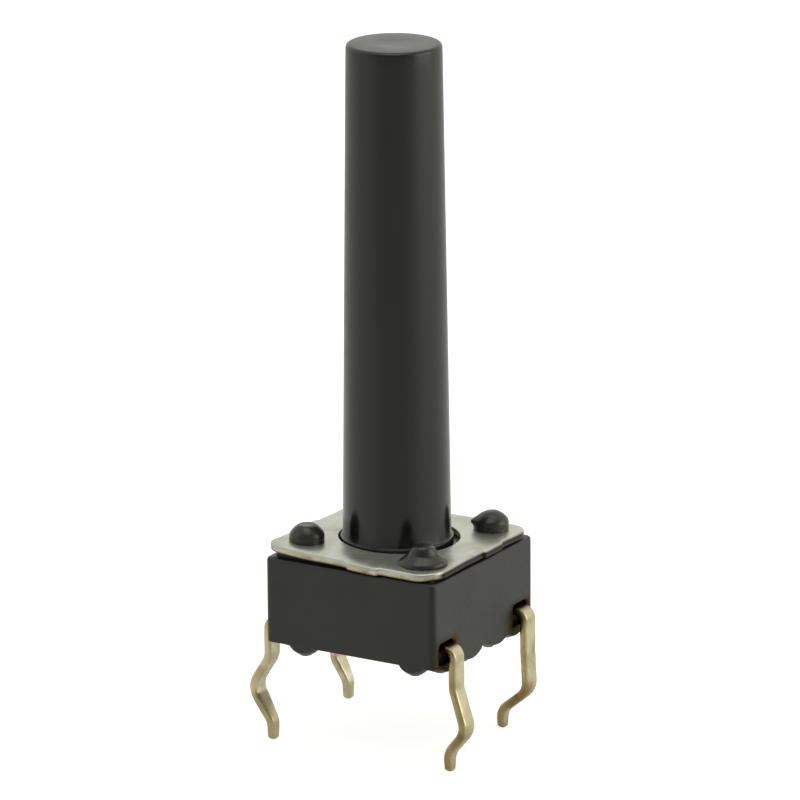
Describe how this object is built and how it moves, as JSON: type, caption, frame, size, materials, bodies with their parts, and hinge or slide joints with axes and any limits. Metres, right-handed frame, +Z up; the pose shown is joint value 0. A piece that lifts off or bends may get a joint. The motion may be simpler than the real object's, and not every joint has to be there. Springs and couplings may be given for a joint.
{
  "type": "tactile push button switch",
  "caption": "Square through-hole push button with a black base, a staked metal cover, four kinked legs and a long tapered plunger that clicks down onto a snap dome.",
  "frame": {"origin": "centre of the seating plane, where the stand-off feet rest on the circuit board", "axes": "+Z up along the plunger, away from the board; the legs leave the sides facing -X and +X; -Y is the front"},
  "size_m": [0.0077, 0.0062, 0.0221],
  "materials": {
    "base_plastic": "moulded black plastic, fine matt grain",
    "plunger_plastic": "moulded black plastic, semi-gloss",
    "cover_metal": "stamped and plated steel, satin",
    "dome_steel": "spring steel, bright",
    "tinned_brass": "plated brass, satin, slightly tarnished"
  },
  "bodies": {
    "housing": {"base": "base_plastic", "cover_plate": "cover_metal", "snap_dome": "dome_steel", "centre_contact_strip": "tinned_brass", "rim_contact_strip": "tinned_brass"},
    "button": {"plunger": "plunger_plastic"}
  },
  "joints": [
    {"name": "plunger_press", "type": "slide", "parent": "housing", "child": "button", "axis": [0, 0, -1], "range_m": [0, 0.00025], "stiffness_N_per_m": 6400, "deforming": ["snap_dome"]}
  ]
}
